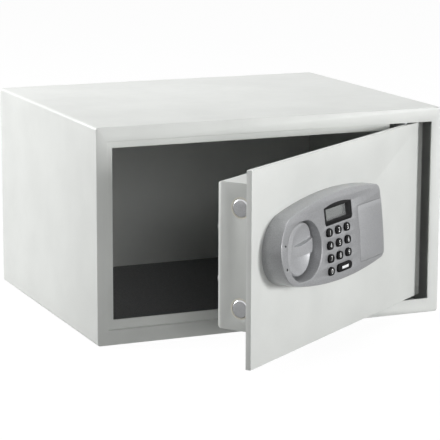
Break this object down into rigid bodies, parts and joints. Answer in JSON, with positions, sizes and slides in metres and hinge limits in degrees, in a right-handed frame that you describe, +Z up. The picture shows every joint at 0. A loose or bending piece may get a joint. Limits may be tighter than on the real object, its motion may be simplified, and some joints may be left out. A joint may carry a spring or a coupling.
{
  "type": "electronic safe",
  "caption": "Electronic safe: folded steel body, recessed side-hinged door, thrown bolts, turning knob, keypad with display, and a covered key lock.",
  "frame": {"origin": "middle of the body's footprint, on the plane it stands on", "axes": "+Z up, +X to the right seen from the front, +Y towards the back; the front face is towards -Y"},
  "size_m": [0.35, 0.4643, 0.2],
  "materials": {
    "body_paint": "fine light grey powder coat",
    "box_paint": "grey powder coat",
    "zinc_steel": "zinc plated",
    "hinge_steel": "grey powder coat",
    "bright_steel": "polished, nickel plated",
    "carriage_steel": "zinc plated sheet",
    "screw_steel": "dark plated",
    "floor_fabric": "dark needle felt",
    "bush_nylon": "black nylon",
    "spindle_nylon": "natural nylon",
    "silver_plastic": "silver lacquered",
    "knob_plastic": "silver lacquered",
    "cover_plastic": "silver lacquered, smooth",
    "black_plastic": "black",
    "key_rubber": "black, moulded",
    "red_plastic": "red",
    "clear_plastic": "clear",
    "display_cell": "grey green, unlit",
    "lamp_plastic": "dark, unlit",
    "board_laminate": "green solder mask",
    "brass": "machined",
    "coil_winding": "lacquered winding under tape",
    "cell_jacket": "plain jacket",
    "wire_jacket": "red"
  },
  "bodies": {
    "case": {"body_shell": "body_paint", "back_panel": "body_paint", "stop_frame": "body_paint", "strike_plate": "zinc_steel", "hinge_brackets": "hinge_steel", "hinge_pins": "bright_steel", "floor_felt": "floor_fabric"},
    "door": {"door_plate": "body_paint", "hinge_blocks": "hinge_steel", "hinge_washers": "zinc_steel", "bolt_box": "box_paint", "box_posts": "zinc_steel", "box_screws": "screw_steel", "bolt_bushes": "bush_nylon", "carriage_posts": "zinc_steel", "carriage_screws": "screw_steel", "spindle_bush": "spindle_nylon", "solenoid_bracket": "zinc_steel", "solenoid_frame": "zinc_steel", "solenoid_coil": "coil_winding", "plunger_spring": "screw_steel", "battery_holder": "black_plastic", "battery_cells": "cell_jacket", "reset_switch": "black_plastic", "lock_housing": "silver_plastic", "housing_screws": "screw_steel", "key_cylinder": "brass", "cylinder_nut": "zinc_steel", "display_bezel": "black_plastic", "display_window": "clear_plastic", "display_panel": "display_cell", "signal_lamps": "lamp_plastic", "keypad_frame": "black_plastic", "keypad_mat": "key_rubber", "circuit_board": "board_laminate", "board_screws": "screw_steel", "wiring_loom": "wire_jacket"},
    "bolts": {"bolt_carriage": "carriage_steel", "locking_bolts": "bright_steel", "bolt_screws": "screw_steel"},
    "turning_knob": {"knob": "knob_plastic", "knob_spindle": "carriage_steel"},
    "plunger": {"solenoid_plunger": "bright_steel"},
    "cell_cover": {"battery_cover": "black_plastic"},
    "reset": {"reset_button": "red_plastic"},
    "lock_cover": {"key_cover": "cover_plastic"},
    "turning_plug": {"key_plug": "brass", "key_cam": "carriage_steel"},
    "key_1_cap": {"key_1": "key_rubber"},
    "key_2_cap": {"key_2": "key_rubber"},
    "key_3_cap": {"key_3": "key_rubber"},
    "key_4_cap": {"key_4": "key_rubber"},
    "key_5_cap": {"key_5": "key_rubber"},
    "key_6_cap": {"key_6": "key_rubber"},
    "key_7_cap": {"key_7": "key_rubber"},
    "key_8_cap": {"key_8": "key_rubber"},
    "key_9_cap": {"key_9": "key_rubber"},
    "key_0_cap": {"key_0": "key_rubber"},
    "key_lock_cap": {"key_lock": "key_rubber"}
  },
  "joints": [
    {"name": "door_swing", "type": "hinge", "parent": "case", "child": "door", "pos_m": [0.1388, -0.1343, 0.1], "axis": [0, 0, 1], "range_deg": [-35.5, 59.5]},
    {"name": "knob_turn", "type": "hinge", "parent": "door", "child": "turning_knob", "pos_m": [-0.0515, -0.28011, 0.1088], "axis": [0.5807, -0.8141, 0], "range_deg": [0, 90]},
    {"name": "bolt_slide", "type": "slide", "parent": "door", "child": "bolts", "axis": [-0.8141, -0.5807, 0], "range_m": [0, 0.014]},
    {"name": "plunger_slide", "type": "slide", "parent": "door", "child": "plunger", "axis": [0, 0, -1], "range_m": [0, 0.004], "stiffness_N_per_m": 150, "deforming": ["plunger_spring"]},
    {"name": "key_turn", "type": "hinge", "parent": "door", "child": "turning_plug", "pos_m": [0.04318, -0.21258, 0.1088], "axis": [0.5807, -0.8141, 0], "range_deg": [0, 90]},
    {"name": "cover_slide", "type": "slide", "parent": "door", "child": "lock_cover", "axis": [0.8141, 0.5807, 0], "range_m": [0, 0.045]},
    {"name": "cell_cover_pull", "type": "slide", "parent": "door", "child": "cell_cover", "axis": [-0.5807, 0.8141, 0], "range_m": [0, 0.03]},
    {"name": "reset_press", "type": "slide", "parent": "door", "child": "reset", "axis": [0.5807, -0.8141, 0], "range_m": [0, 0.0012], "stiffness_N_per_m": 200},
    {"name": "key_1_press", "type": "slide", "parent": "door", "child": "key_1_cap", "axis": [-0.5807, 0.8141, 0], "range_m": [0, 0.001], "stiffness_N_per_m": 200},
    {"name": "key_2_press", "type": "slide", "parent": "door", "child": "key_2_cap", "axis": [-0.5807, 0.8141, 0], "range_m": [0, 0.001], "stiffness_N_per_m": 200},
    {"name": "key_3_press", "type": "slide", "parent": "door", "child": "key_3_cap", "axis": [-0.5807, 0.8141, 0], "range_m": [0, 0.001], "stiffness_N_per_m": 200},
    {"name": "key_4_press", "type": "slide", "parent": "door", "child": "key_4_cap", "axis": [-0.5807, 0.8141, 0], "range_m": [0, 0.001], "stiffness_N_per_m": 200},
    {"name": "key_5_press", "type": "slide", "parent": "door", "child": "key_5_cap", "axis": [-0.5807, 0.8141, 0], "range_m": [0, 0.001], "stiffness_N_per_m": 200},
    {"name": "key_6_press", "type": "slide", "parent": "door", "child": "key_6_cap", "axis": [-0.5807, 0.8141, 0], "range_m": [0, 0.001], "stiffness_N_per_m": 200},
    {"name": "key_7_press", "type": "slide", "parent": "door", "child": "key_7_cap", "axis": [-0.5807, 0.8141, 0], "range_m": [0, 0.001], "stiffness_N_per_m": 200},
    {"name": "key_8_press", "type": "slide", "parent": "door", "child": "key_8_cap", "axis": [-0.5807, 0.8141, 0], "range_m": [0, 0.001], "stiffness_N_per_m": 200},
    {"name": "key_9_press", "type": "slide", "parent": "door", "child": "key_9_cap", "axis": [-0.5807, 0.8141, 0], "range_m": [0, 0.001], "stiffness_N_per_m": 200},
    {"name": "key_0_press", "type": "slide", "parent": "door", "child": "key_0_cap", "axis": [-0.5807, 0.8141, 0], "range_m": [0, 0.001], "stiffness_N_per_m": 200},
    {"name": "key_lock_press", "type": "slide", "parent": "door", "child": "key_lock_cap", "axis": [-0.5807, 0.8141, 0], "range_m": [0, 0.001], "stiffness_N_per_m": 200}
  ],
  "couplings": [
    {"joint": "knob_turn", "follows": "bolt_slide", "rad_per_m": 112.2}
  ]
}
